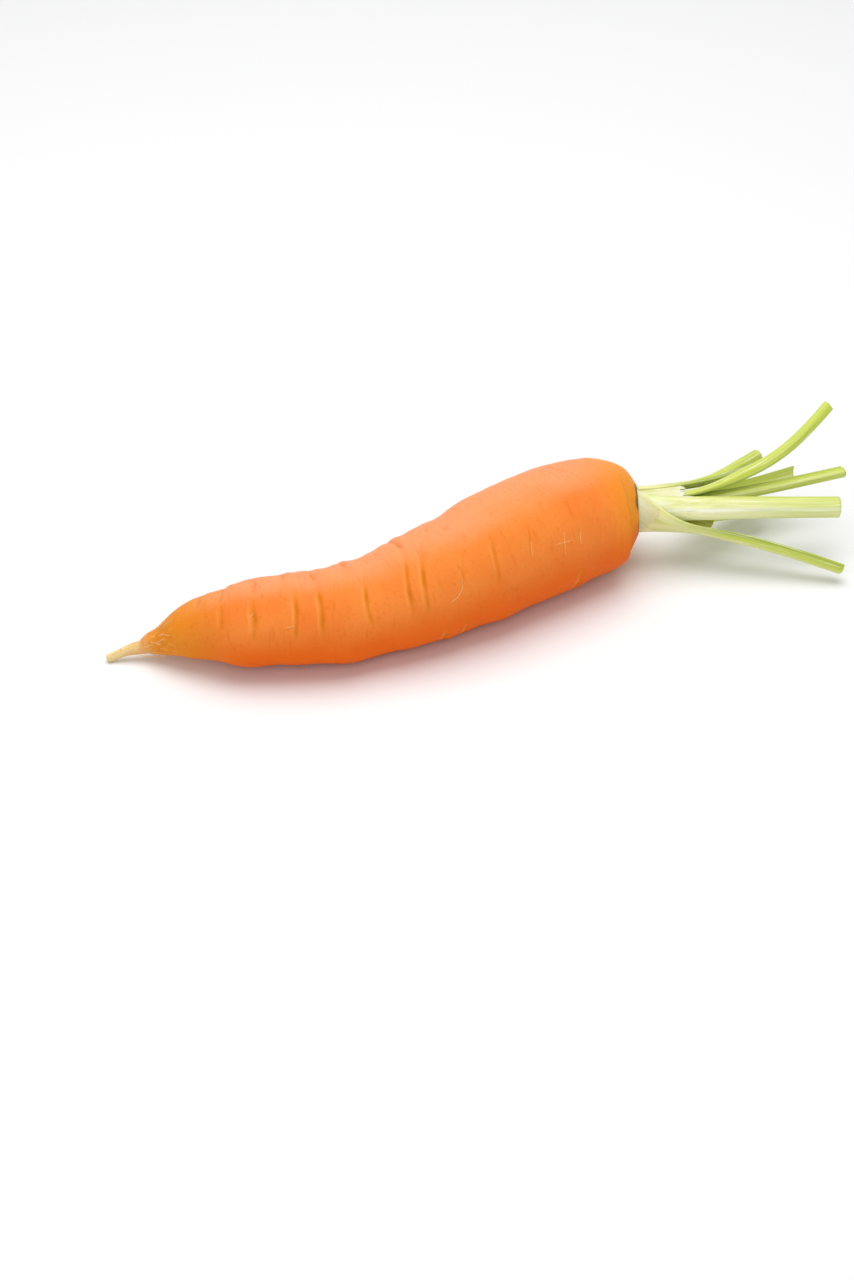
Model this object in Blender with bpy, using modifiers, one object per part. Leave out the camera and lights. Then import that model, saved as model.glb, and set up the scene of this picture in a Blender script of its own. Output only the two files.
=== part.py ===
"""A fresh carrot with trimmed leaf stalks, lying on its side.

Metres, +Z up. The surface that it lies on is Z = 0, the tip points to -X and the crown with its leaf
stalks to +X. The origin is the middle of the small flat spot that the root rests on.

Nodes: taproot, and leaf_stalk_1 to leaf_stalk_9, numbered from the outermost sheath inwards.
"""

import math
import random
from collections import namedtuple

import bpy
import numpy as np

MM = 0.001

# Root: driving dimensions
ROOT_LENGTH = 155 * MM  # along X, from where the tail begins to the crown
ROOT_RADIUS = 19 * MM  # at the shoulder
TAIL_SHARE = 0.06  # the thin tail beyond the tip, as a share of the root's length
REST_SHARE = 0.62  # the origin's place along the root, under its weight
FLAT_DEPTH = 0.4 * MM  # how far the flat spot is pressed into the round underside

# The root's half-width at stations from the tail's end (below 0) to the crown (1), as shares of ROOT_RADIUS
OUTLINE_AT = (-TAIL_SHARE, 0.0, 0.02, 0.04, 0.088, 0.156, 0.25, 0.375, 0.531, 0.656, 0.79, 0.9125, 0.95, 0.98, 1.0)
OUTLINE = (0.062, 0.10, 0.17, 0.225, 0.42, 0.58, 0.69, 0.757, 0.88, 0.964, 1.0, 0.94, 0.855, 0.69, 0.42)

# The root's centre line: its sideways bend, and its lift off the floor, at stations
BEND_AT = (-TAIL_SHARE, 0.0, 0.1, 0.22, 0.4, 0.56, 0.75, 0.9, 0.955, 1.0)
BEND = tuple(y * MM for y in (20.2, 18.0, 11.0, 2.4, -2.8, -1.8, 3.8, 7.3, 6.8, 4.7))
LIFT_AT = (-TAIL_SHARE, 0.0, 0.08, 0.18, 0.3, 0.42, 0.8, 0.94, 1.0)
LIFT = tuple(z * MM for z in (0.4, 2.6, 2.6, 2.6, 1.4, 0.0, 0.0, -0.4, 0.0))

# The crown: a shallow ring-shaped seat in the shoulder that the leaf sheaths stand in
SEAT_RADIUS = 7.7 * MM
SEAT_DEPTH = 1.0 * MM
GAP = 0.3 * MM  # clearance between neighbouring solids

ROOT_SIDES = 32
RING_SPACING = 5 * MM
RING_MERGE = 0.55 * MM

# Creases across the skin: place along the root, direction round it, half-span and depth.
# Directions are degrees from straight up, positive towards -Y.
Crease = namedtuple("Crease", "place angle half_span depth")
CREASE_HALF_WIDTH = 1.0 * MM
MAIN_CREASES = (
    Crease(0.490, -22, 34, 0.80),
    Crease(0.368, -20, 28, 0.70),
    Crease(0.308, -18, 30, 0.75),
    Crease(0.250, -18, 30, 0.80),
    Crease(0.205, -14, 28, 0.65),
    Crease(0.152, -12, 30, 0.65),
    Crease(0.118, -14, 28, 0.45),
    Crease(0.268, 43, 38, 0.55),
    Crease(0.310, 44, 38, 0.55),
    Crease(0.392, 38, 34, 0.50),
    Crease(0.474, 38, 36, 0.65),
    Crease(0.505, 40, 36, 0.65),
    Crease(0.629, 50, 26, 0.40),
    Crease(0.203, 44, 32, 0.45),
    Crease(0.158, 38, 26, 0.35),
)
CREASE_SEED = 11
HIDDEN_CREASES = 14

# Leaf stalks. Directions round the neck are degrees: 0 towards -Y, 90 straight up.
# ring: radius of the sheath's inner face; half_span: degrees of the crown it wraps on each side;
# sheath: how far it takes to narrow to the stalk; elbow: how far it runs straight before it bends away;
# end: its cut end from the crown's centre; width and depth: of the cut end. All lengths in millimetres.
Stalk = namedtuple("Stalk", "ring direction half_span sheath elbow end width depth")
OUTER_RING = 5.85  # of the two outermost sheaths
STALKS = (
    Stalk(OUTER_RING, -35, 140, 23, 24, (54, -35, -13.2), 3.6, 2.5),
    Stalk(OUTER_RING, 142, 33, 30, 26, (50, 11.5, -3.6), 4.8, 3.8),
    Stalk(4.2, 27, 87, 20, 13, (59, -22, -1.1), 6.2, 3.8),
    Stalk(4.2, 205, 38, 20, 12, (46, 7.5, -10), 4.0, 3.0),
    Stalk(4.2, 270, 18, 22, 14, (46, -1, -11.5), 4.0, 3.0),
    Stalk(2.25, 112, 42, 18, 38, (66, -1, 20), 3.6, 2.9),
    Stalk(2.25, -32, 50, 20, 13, (21.8, -9, -5.2), 3.8, 2.4),
    Stalk(2.25, 216, 50, 22, 18, (58, 2, -4), 4.6, 3.2),
    Stalk(0.0, 20, 0, 22, 22, (66, -11, 3), 3.6, 3.0),
)
NECK_LEAN = 0.04  # slope at which the inner stalks lean away from the outermost one
LEAN_DIRECTION = 130  # round the neck
SHEATH_THICKNESS = 1.2 * MM
MARGIN = 0.7 * MM  # thickness along a sheath's edges
CORE_WIDTH = 2.6 * MM  # the innermost stalk's width at the crown
FREE_CURL = 9 * MM  # radius that a free stalk is curled to
CHANNEL = 0.1  # depth of its channel, as a share of its thickness
STALK_RINGS = 15
STALK_ROW = 8  # spans across each face of a stalk
WIDE_ROW = 16  # and of a sheath that wraps most of the neck

SKIN_COLOUR = (0.93, 0.32, 0.03, 1.0)
STALK_COLOUR = (0.62, 0.74, 0.25, 1.0)


def end_slope(near, far, step, next_step):
    """Three-point slope at an end of a curve, kept from overshooting."""
    slope = ((2 * step + next_step) * near - step * far) / (step + next_step)
    if slope * near <= 0:
        return 0.0
    if near * far <= 0 and abs(slope) > 3 * abs(near):
        return 3 * near
    return slope


def smooth(places, values, at):
    """Values between stations, on cubics that neither overshoot nor break slope (Fritsch-Carlson)."""
    places, values, at = (np.asarray(a, float) for a in (places, values, at))
    step = np.diff(places)
    slope = np.diff(values) / step
    tangent = np.empty_like(values)
    tangent[0] = end_slope(slope[0], slope[1], step[0], step[1])
    tangent[-1] = end_slope(slope[-1], slope[-2], step[-1], step[-2])
    before, after = slope[:-1], slope[1:]
    w_before, w_after = step[:-1] + 2 * step[1:], 2 * step[:-1] + step[1:]
    turning = before * after <= 0
    safe = np.where(turning, 1.0, before), np.where(turning, 1.0, after)
    mean = (w_before + w_after) / (w_after / safe[0] + w_before / safe[1])
    tangent[1:-1] = np.where(turning, 0.0, mean)
    i = np.clip(np.searchsorted(places, at) - 1, 0, len(step) - 1)
    t = (at - places[i]) / step[i]
    return (
        values[i] * (1 + 2 * t) * (1 - t) ** 2
        + tangent[i] * step[i] * t * (1 - t) ** 2
        + values[i + 1] * t * t * (3 - 2 * t)
        + tangent[i + 1] * step[i] * t * t * (t - 1)
    )


def smoothstep(t):
    t = np.clip(t, 0.0, 1.0)
    return t * t * (3 - 2 * t)


def unit(vectors):
    return vectors / np.linalg.norm(vectors, axis=-1, keepdims=True)


def root_radius(share):
    return ROOT_RADIUS * smooth(OUTLINE_AT, OUTLINE, share)


def root_centre(share):
    """Points of the root's centre line. The round underside touches Z = 0 where LIFT is 0."""
    share = np.atleast_1d(np.asarray(share, float))
    widest = OUTLINE_AT[int(np.argmax(OUTLINE))]
    x = (share - REST_SHARE) * ROOT_LENGTH
    y = smooth(BEND_AT, BEND, share)
    resting = root_radius(np.minimum(share, widest)) - FLAT_DEPTH
    z = resting + smooth(LIFT_AT, LIFT, share)
    return np.stack([x, y, z], axis=-1)


def root_frame(share):
    """Tangent, level sideways direction and upward direction of the centre line."""
    reach = 0.004
    low = np.maximum(share - reach, -TAIL_SHARE)
    high = np.minimum(share + reach, 1.0)
    tangent = unit(root_centre(high) - root_centre(low))
    side = unit(np.cross(tangent, (0.0, 0.0, 1.0)))
    return tangent, side, np.cross(side, tangent)


def all_creases():
    """The main creases, and more on the far side and underneath, spread by a seeded draw."""
    draw = random.Random(CREASE_SEED)
    found = list(MAIN_CREASES)
    for i in range(HIDDEN_CREASES):
        place = 0.12 + 0.76 * (i + draw.uniform(0.1, 0.9)) / HIDDEN_CREASES
        angle = draw.choice((-75, -110, 110, 165)) + draw.uniform(-15, 15)
        found.append(Crease(place, angle, draw.uniform(20, 38), draw.uniform(0.35, 0.6)))
    return found


def relief(share, angle):
    """How far the skin stands above the plain turned shape: slow swellings less creases, none underneath."""
    waves = (
        0.30 * np.sin(2 * math.pi * 6.3 * share + 1.3 * np.sin(angle + 0.4))
        + 0.22 * np.sin(2 * math.pi * 10.7 * share + 2.0 * np.cos(angle - 1.1) + 1.7)
        + 0.25 * np.cos(2 * angle + 9.0 * share)
    )
    body = smoothstep((share - 0.03) / 0.12) * smoothstep((0.93 - share) / 0.40)
    height = waves * MM * body
    for crease in all_creases():
        turn = np.degrees(angle) - crease.angle
        turn = (turn + 180) % 360 - 180
        span = np.clip(1 - (turn / crease.half_span) ** 2, 0, 1) ** 1.5
        along = (share - crease.place) * ROOT_LENGTH / CREASE_HALF_WIDTH
        groove = np.exp(-(along**2)) - 0.45 * np.exp(-((along - 1.9) ** 2))
        height = height - crease.depth * MM * span * groove
    underside = smoothstep((np.cos(angle) + 0.92) / 0.2)
    return height * underside


def crown():
    """The crown's centre, on the seat's floor, and its outward, forward and upward directions."""
    tangent, side, up = root_frame(np.array([1.0]))
    centre = root_centre(1.0)[0] - tangent[0] * SEAT_DEPTH
    return centre, tangent[0], side[0], up[0]


def ring_places():
    """Stations along the root: evenly spaced, with three across each crease and more at the round ends."""
    places = set(np.arange(0.0, 0.93, RING_SPACING / ROOT_LENGTH))
    places |= {-TAIL_SHARE, -0.04, -0.02, 0.0, 0.012, 0.024, 0.04, 0.06}
    places |= {0.93, 0.945, 0.958, 0.97, 0.979, 0.987, 0.994, 1.0}
    half = CREASE_HALF_WIDTH / ROOT_LENGTH
    for crease in all_creases():
        places |= {crease.place - half, crease.place, crease.place + half}
    kept = []
    for place in sorted(places):
        if not kept or (place - kept[-1]) * ROOT_LENGTH > RING_MERGE or place == 1.0:
            kept.append(place)
    return kept


def link(name, mesh):
    obj = bpy.data.objects.new(name, mesh)
    bpy.data.collections["carrot"].objects.link(obj)
    return obj


def turned_root():
    """The root as a plain turned solid, standing on Z: a profile with a Screw modifier, made a mesh."""
    seat_at = 1.0 - SEAT_DEPTH / ROOT_LENGTH
    profile = [(0.0, seat_at), (SEAT_RADIUS * 0.5, seat_at), (SEAT_RADIUS, seat_at)]
    profile += [(float(root_radius(place)), place) for place in reversed(ring_places())]
    profile += [(0.0, -TAIL_SHARE)]
    mesh = bpy.data.meshes.new("root_profile")
    points = [(radius, 0.0, place * ROOT_LENGTH) for radius, place in profile]
    mesh.from_pydata(points, [(i, i + 1) for i in range(len(points) - 1)], [])
    outline = link("root_outline", mesh)
    screw = outline.modifiers.new("turn", "SCREW")
    screw.steps = screw.render_steps = ROOT_SIDES
    screw.use_merge_vertices = True
    screw.merge_threshold = 0.00005
    graph = bpy.context.evaluated_depsgraph_get()
    turned = bpy.data.meshes.new_from_object(outline.evaluated_get(graph))
    bpy.data.objects.remove(outline)
    return turned


def make_taproot():
    """The turned root, given its relief, laid along its bent centre line and flattened where it rests."""
    mesh = turned_root()
    flat = np.empty(len(mesh.vertices) * 3)
    mesh.vertices.foreach_get("co", flat)
    x, y, z = flat.reshape(-1, 3).T
    share = np.clip(z / ROOT_LENGTH, -TAIL_SHARE, 1.0)
    angle = np.arctan2(y, x)
    radius = np.hypot(x, y) + relief(share, angle)
    _, side, up = root_frame(share)
    outward = side * np.sin(angle)[:, None] + up * np.cos(angle)[:, None]
    points = root_centre(share) + outward * radius[:, None]
    points[:, 2] = np.maximum(points[:, 2], 0.0)
    mesh.vertices.foreach_set("co", points.ravel())
    mesh.update()
    return link("taproot", mesh)


def stalk_path(stalk, start, straight, end):
    """A cubic Bezier with its tangents: straight out of the crown as far as the elbow, then on to the end."""
    elbow = start + straight * stalk.elbow * MM
    late = elbow + (end - elbow) * 0.45
    t = (np.linspace(0, 1, STALK_RINGS) ** 1.35)[:, None]
    points = (1 - t) ** 3 * start + 3 * (1 - t) ** 2 * t * elbow + 3 * (1 - t) * t**2 * late + t**3 * end
    tangents = (1 - t) ** 2 * (elbow - start) + 2 * (1 - t) * t * (late - elbow) + t**2 * (end - late)
    return points, unit(tangents)


def carried(normal, tangents):
    """The starting normal, carried along the path without twist."""
    found = []
    for tangent in tangents:
        normal = normal - tangent * np.dot(normal, tangent)
        normal = normal / np.linalg.norm(normal)
        found.append(normal)
    return np.array(found)


def stalk_sections(stalk, run):
    """Half-width, thickness and curl radius of the stalk at each distance run from the crown."""
    sheath = stalk.sheath * MM
    narrowing = (1 - np.minimum(run / sheath, 1)) ** 2
    leaves_neck = stalk.elbow * MM * 0.5
    thickening = smoothstep((run - leaves_neck) / sheath)
    end_half, ring = stalk.width * MM / 2, stalk.ring * MM
    if ring:
        base_half = math.radians(stalk.half_span) * ring
        base_thick = SHEATH_THICKNESS
    else:
        base_half, base_thick, ring = CORE_WIDTH / 2, CORE_WIDTH, FREE_CURL
    swell = 1 + 0.15 * np.exp(-(((run - sheath) / (12 * MM)) ** 2))
    half = end_half * swell + (base_half - end_half * swell) * narrowing
    thick = base_thick + (stalk.depth * MM - base_thick) * thickening
    curl = ring + (FREE_CURL - ring) * smoothstep(run / (sheath * 1.5))
    return half, thick, curl


def stalk_frames(stalk):
    """The stalk's centre line on its inner face, with outward and sideways directions along it."""
    centre, outward, front, up = crown()
    turn = math.radians(stalk.direction)
    normal = front * math.cos(turn) + up * math.sin(turn)
    inner_face = stalk.ring * MM if stalk.ring else -CORE_WIDTH / 2
    start = centre + outward * GAP + normal * inner_face
    end = centre + np.array(stalk.end) * MM
    turn = math.radians(LEAN_DIRECTION)
    lean = (front * math.cos(turn) + up * math.sin(turn)) * NECK_LEAN
    straight = outward if stalk.ring == OUTER_RING else unit(outward + lean)
    path, tangents = stalk_path(stalk, start, straight, end)
    tangents[0] = outward
    normals = carried(normal, tangents)
    return path, normals, np.cross(tangents, normals)


def stalk_rings(stalk, spans):
    """Rings of points along the stalk: across its outer face, then back across its inner face."""
    path, normals, sides = stalk_frames(stalk)
    run = np.concatenate([[0], np.cumsum(np.linalg.norm(np.diff(path, axis=0), axis=1))])
    half, thick, curl = (a[:, None] for a in stalk_sections(stalk, run))
    even = np.linspace(1, -1, spans + 1)
    place = (even + np.sin(even * math.pi / 2)) / 2
    face = (1 - place**2) ** 0.5
    edge = np.minimum(MARGIN, thick)
    outer = edge + (thick - edge) * face
    inner = CHANNEL * thick * face**2 * smoothstep(run / (stalk.sheath * MM))[:, None]
    bend = half * place / curl
    faces = []
    for height, angle in ((outer, bend), (inner[:, ::-1], bend[:, ::-1])):
        radial = (curl + height) * np.cos(angle) - curl
        sideways = (curl + height) * np.sin(angle)
        across = normals[:, None] * radial[..., None] + sides[:, None] * sideways[..., None]
        faces.append(path[:, None] + across)
    return np.concatenate(faces, axis=1)


def make_stalk(number, stalk):
    """A loft from a thin sheath, wrapped round the neck, to a thick channelled stalk with a cut end."""
    spans = STALK_ROW if stalk.half_span < 60 else WIDE_ROW
    rings = stalk_rings(stalk, spans)
    count = rings.shape[1]
    faces = []
    for i in range(STALK_RINGS - 1):
        for j in range(count):
            a, b = i * count + j, i * count + (j + 1) % count
            faces.append((a, a + count, b + count, b))
    last = (STALK_RINGS - 1) * count
    for j in range(spans):
        k = count - 1 - j
        faces.append((j, j + 1, k - 1, k))
        faces.append((last + j, last + k, last + k - 1, last + j + 1))
    mesh = bpy.data.meshes.new(f"leaf_stalk_{number}")
    mesh.from_pydata(rings.reshape(-1, 3).tolist(), [], faces)
    mesh.update()
    return link(f"leaf_stalk_{number}", mesh)


def finish(obj, material):
    obj.data.materials.append(material)
    obj.data.shade_smooth()
    obj.data.set_sharp_from_angle(angle=math.radians(40))


def make_material(name, colour, roughness):
    material = bpy.data.materials.new(name)
    material.use_nodes = True
    shader = material.node_tree.nodes["Principled BSDF"]
    shader.inputs["Base Color"].default_value = colour
    shader.inputs["Roughness"].default_value = roughness
    shader.inputs["Metallic"].default_value = 0.0
    return material


def main():
    for obj in list(bpy.data.objects):
        bpy.data.objects.remove(obj)
    bpy.context.scene.collection.children.link(bpy.data.collections.new("carrot"))
    skin = make_material("carrot_skin", SKIN_COLOUR, 0.45)
    green = make_material("leaf_stalk", STALK_COLOUR, 0.5)
    finish(make_taproot(), skin)
    for number, stalk in enumerate(STALKS, start=1):
        finish(make_stalk(number, stalk), green)


main()
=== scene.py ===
"""Looks of a fresh carrot with trimmed leaf stalks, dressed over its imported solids.

Metres, +Z up. The floor is Z = 0, the tip points to -X and the crown with its leaf stalks to +X.
Directions round the root are radians from straight up, positive towards -Y.
"""

import math
import random
from collections import namedtuple

import bpy
import numpy as np
from bpy.props import FloatProperty, FloatVectorProperty, IntProperty, PointerProperty
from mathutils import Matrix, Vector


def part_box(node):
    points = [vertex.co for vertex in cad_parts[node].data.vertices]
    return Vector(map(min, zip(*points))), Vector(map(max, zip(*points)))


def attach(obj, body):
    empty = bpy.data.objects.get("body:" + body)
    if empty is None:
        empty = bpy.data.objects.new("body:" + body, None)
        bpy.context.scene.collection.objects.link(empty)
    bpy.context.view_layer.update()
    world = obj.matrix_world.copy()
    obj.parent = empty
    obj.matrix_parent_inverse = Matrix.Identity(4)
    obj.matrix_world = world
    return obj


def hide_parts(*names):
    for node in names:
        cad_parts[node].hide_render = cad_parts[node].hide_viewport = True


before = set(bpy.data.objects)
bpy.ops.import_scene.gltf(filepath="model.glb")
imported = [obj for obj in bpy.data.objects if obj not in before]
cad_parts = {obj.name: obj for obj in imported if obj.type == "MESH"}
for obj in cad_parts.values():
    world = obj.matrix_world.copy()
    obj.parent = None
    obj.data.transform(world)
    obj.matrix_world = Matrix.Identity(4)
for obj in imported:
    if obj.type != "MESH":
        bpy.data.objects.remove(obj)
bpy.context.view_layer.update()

bl_info = {
    "name": "Fresh carrot",
    "version": (1, 0, 0),
    "blender": (4, 5, 0),
    "location": "3D View > Sidebar > Carrot",
    "description": "Skin, leaf stalks, crown, rootlets and stage of a fresh carrot",
    "category": "Object",
}

MM = 0.001

# The root's plain form, as in the solids. Places are shares of its length from the tip, 0, to the crown,
# 1, and its thin tail reaches TAIL_SHARE past the tip. OUTLINE is the radius as a share of the greatest
# one, BEND the Y of the centre line, LIFT its rise over the resting line. REST_SHARE lies at X = 0
ROOT_LENGTH = 155 * MM
ROOT_RADIUS = 19 * MM
TAIL_SHARE = 0.06
REST_SHARE = 0.62
FLAT_DEPTH = 0.4 * MM
OUTLINE_AT = (
    -TAIL_SHARE, 0.0, 0.02, 0.04, 0.088, 0.156, 0.25, 0.375, 0.531, 0.656, 0.79, 0.9125, 0.95, 0.98, 1.0)
OUTLINE = (0.062, 0.10, 0.17, 0.225, 0.42, 0.58, 0.69, 0.757, 0.88, 0.964, 1.0, 0.94, 0.855, 0.69, 0.42)
BEND_AT = (-TAIL_SHARE, 0.0, 0.1, 0.22, 0.4, 0.56, 0.75, 0.9, 0.955, 1.0)
BEND = tuple(y * MM for y in (20.2, 18.0, 11.0, 2.4, -2.8, -1.8, 3.8, 7.3, 6.8, 4.7))
LIFT_AT = (-TAIL_SHARE, 0.0, 0.08, 0.18, 0.3, 0.42, 0.8, 0.94, 1.0)
LIFT = tuple(z * MM for z in (0.4, 2.6, 2.6, 2.6, 1.4, 0.0, 0.0, -0.4, 0.0))
TAIL_POINT = 0.5 * MM
SEAT_DEPTH = 1.0 * MM
# The crown's rim and seat in section: millimetres from the axis and below the rim
SEAT_PROFILE = (
    (7.93, -0.04), (7.84, -0.02), (7.76, 0.08), (7.7, 0.3), (7.7, 0.92), (7.5, 1.0), (6.0, 1.0), (3.0, 1.0))
GAP = 0.3 * MM

# Creases across the skin: place along the root, direction round it in degrees, half-span, depth and
# half-width in millimetres, how far the middle bows towards the crown, and how far its front end slants
# towards the crown
Crease = namedtuple("Crease", "place angle half_span depth width bow slant", defaults=(0,))
MAIN_CREASES = (
    Crease(0.490, -22, 34, 0.95, 0.80, 0.4),
    Crease(0.368, -20, 28, 0.85, 0.75, 0.3),
    Crease(0.308, -18, 30, 0.90, 0.75, -0.3),
    Crease(0.250, -18, 30, 0.95, 0.80, 0.5),
    Crease(0.205, -14, 28, 0.80, 0.75, 0.2),
    Crease(0.152, -12, 30, 0.80, 0.70, 0.4),
    Crease(0.118, -14, 28, 0.60, 0.70, 0.2),
    Crease(0.268, 43, 38, 0.45, 0.60, 0.1, -0.55),
    Crease(0.312, 44, 40, 0.42, 0.60, -0.3),
    Crease(0.397, 38, 34, 0.40, 0.60, -1.3, -1.15),
    Crease(0.476, 38, 38, 0.46, 0.65, -0.6, -2.5),
    Crease(0.507, 40, 38, 0.46, 0.65, -1.0, -2.9),
    Crease(0.629, 50, 24, 0.30, 0.55, -0.4, -1.6),
    Crease(0.203, 44, 32, 0.36, 0.60, 0.2, -0.3),
    Crease(0.158, 38, 22, 0.28, 0.55, 0.0),
)
HIDDEN_SEED = 11
HIDDEN_CREASES = 14
FAINT_CREASES = (
    Crease(0.569, 47, 22, 0.22, 0.50, 0.5, -2.1),
    Crease(0.701, 49, 20, 0.24, 0.50, 0.0, -2.6),
    Crease(0.131, 40, 13, 0.16, 0.45, 0.0),
    Crease(0.768, 64, 14, 0.14, 0.40, 0.0, -0.6),
    Crease(0.802, 63, 10, 0.14, 0.40, 0.0, -0.4),
)
FINE_SEED = 23
FINE_CREASES = 80

# Threads of root on the skin: stations (place along the root, degrees round it, mm off the skin) of each
SKIN_THREADS = (
    ((0.564, 53, 0), (0.562, 61, 0), (0.556, 66, 0), (0.544, 70, 0), (0.531, 72, 0)),
    ((0.751, 61, 0), (0.767, 62, 0), (0.783, 63, 0)),
    ((0.773, 52, 0), (0.768, 63, 0), (0.765, 75, 0)),
    ((0.805, 57, 0), (0.802, 63, 0), (0.800, 70, 0)),
    ((0.702, 48, 0), (0.697, 56, 0), (0.694, 63, 0)),
    ((0.195, 45, 0), (0.199, 42, 0), (0.204, 37, 0)),
    ((0.248, 62, 0), (0.255, 61, 0), (0.264, 60, 0)),
    ((-0.012, 112, 0), (-0.003, 126, 0.5), (0.009, 136, 0.9), (0.024, 135, 0.7), (0.040, 128, 0.3),
     (0.050, 118, 0)),
)
THREAD_SEED = 5

# How far round towards the back the painted sheen along the top of the skin, and the painted shade under it,
# are turned
PAINTED_LIGHT_TURN = math.radians(25)

# Leaf stalks, as in the solids, in millimetres and in degrees. Directions round the neck: 0 towards -Y,
# 90 straight up. half_span: of the sheath round the neck. ribs: how many run down the outer face
Stalk = namedtuple("Stalk", "ring direction half_span sheath elbow end width depth ribs")
OUTER_RING = 5.85
STALKS = (
    Stalk(OUTER_RING, -35, 140, 23, 24, (54, -35, -13.2), 3.6, 2.5, 5),
    Stalk(OUTER_RING, 142, 33, 30, 26, (50, 11.5, -3.6), 4.8, 3.8, 5),
    Stalk(4.2, 27, 87, 20, 13, (59, -22, -1.1), 6.2, 3.8, 6),
    Stalk(4.2, 205, 38, 20, 12, (46, 7.5, -10), 4.0, 3.0, 4),
    Stalk(4.2, 270, 18, 22, 14, (46, -1, -11.5), 4.0, 3.0, 4),
    Stalk(2.25, 112, 42, 18, 38, (66, -1, 20), 3.6, 2.9, 5),
    Stalk(2.25, -32, 50, 20, 13, (21.8, -9, -5.2), 3.8, 2.4, 4),
    Stalk(2.25, 216, 50, 22, 18, (58, 2, -4), 4.6, 3.2, 5),
    Stalk(0.0, 20, 0, 22, 22, (66, -11, 3), 3.6, 3.0, 4),
)
BROAD_STALK = 3

# Colours across a free stalk, each at its place from the upper edge, 0, to the lower edge, 1. They paint
# shade along the edges and a pale highlight down the middle
PLAIN_BANDS = (
    (0.0, "shade"), (0.14, "green"), (0.45, "pale"), (0.62, "green"), (0.9, "green"), (1.0, "shade"))
BANDS = {
    # The first stalk's darker upper edge is painted shade
    1: ((0.0, "shade"), (0.08, "shade"), (0.18, "green"), (0.45, "pale"), (0.8, "green"), (1.0, "shade")),
    # The broad stalk's nearly white stripe is a painted highlight along its ridge
    3: ((0.0, "green"), (0.20, "pale"), (0.34, "pale"), (0.44, "cream"), (0.51, "stripe"), (0.60, "cream"),
        (0.80, "cream"), (0.94, "green")),
    7: ((0.0, "olive"), (1.0, "olive")),
}

# Share of a stalk after which it is wholly green
PLAIN_RIPENESS = 0.5
RIPENESS = {1: 0.6, 3: 0.35, 6: 0.45, 7: 0.3}

# The stalks' sections, as in the solids. The inner stalks leave the crown with a lean towards a direction
# round the neck. A margin is the thickness at a stalk's edge, the core is the innermost stalk at the crown,
# the curl is the radius that a free stalk's section is bent to, and the channel its inner face's depth
NECK_LEAN = 0.04
LEAN_DIRECTION = 130
SHEATH_THICKNESS = 1.2 * MM
MARGIN = 0.7 * MM
CORE_WIDTH = 2.6 * MM
FREE_CURL = 9 * MM
CHANNEL = 0.1
CUT_SLANT_RUN = 5 * MM
# The rings of a cut end: how far each shrinks towards the middle, and how far it dips in millimetres
CUT_RINGS = ((0.08, -0.02), (0.2, 0.06), (0.45, 0.2), (0.75, 0.26))

# The dried scales in section: share of their height, and millimetres outward from their radius
SCALE_RADIUS = 7.38 * MM
SCALE_PROFILE = (
    (0, 0.12), (0.35, 0.12), (0.7, 0.1), (1.0, 0.04), (1.0, -0.04), (0.7, -0.1), (0.35, -0.12), (0, -0.12))
WEB_THICKNESS = 0.2 * MM
FLAP_THICKNESS = 0.12 * MM
# Dark brown of the dirt and the painted shade round the crown's rim and in its seat
RIM_SHADE_AND_SOIL_COLOUR = (0.10, 0.075, 0.018)

# How far a piece may stand outside the box of its solid
STRAY = 1.5 * MM

ROOT_RINGS = 430
ROOT_SIDES = 204
STALK_RINGS = 110
STALK_SPANS = 30
EDGE_SPANS = 4
THREAD_SIDES = 6


def tint(name, description, default):
    """A colour that the panel shows."""
    return FloatVectorProperty(
        name=name, description=description, default=default, subtype="COLOR", min=0, max=1)


def measure(name, description, default, least, most):
    """A length that the panel shows."""
    return FloatProperty(
        name=name, description=description, default=default, unit="LENGTH", min=least, max=most)


class CarrotSkin(bpy.types.PropertyGroup):
    flesh_colour: tint("Flesh", "Colour of the skin over most of the root", (0.91, 0.265, 0.048))
    ruddy_colour: tint("Ruddy patches", "Colour of the redder cloudy patches", (0.88, 0.225, 0.036))
    painted_sheen_colour: tint("Painted top sheen", "Painted sheen: paler colour along the top", (0.91, 0.34, 0.15))
    painted_underside_shade_colour: tint("Underside", "Painted shade: deeper colour low on the sides and underneath", (0.83, 0.132, 0.001))
    shoulder_colour: tint("Shoulder", "Yellower colour near the crown", (0.93, 0.32, 0.022))
    tip_colour: tint("Tip", "Ochre colour of the tapering tip", (0.78, 0.26, 0.016))
    tail_colour: tint("Tail", "Pale yellow colour of the thin tail", (0.84, 0.66, 0.31))
    crease_and_shade_colour: tint("Creases", "Colour of the creases, with painted shade in their grooves", (0.66, 0.185, 0.005))
    fleck_colour: tint("Flecks", "Colour of the small darker flecks and streaks", (0.70, 0.125, 0.004))
    crease_highlight_and_fibre_colour: tint("Crease highlights and tip fibres", "Painted highlight along the tip side of the creases, and the pale fibres at the tip", (0.95, 0.38, 0.09))
    grain: measure("Grain", "Size of the finest bumps in the skin", 0.45 * MM, 0.1 * MM, 2 * MM)


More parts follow.
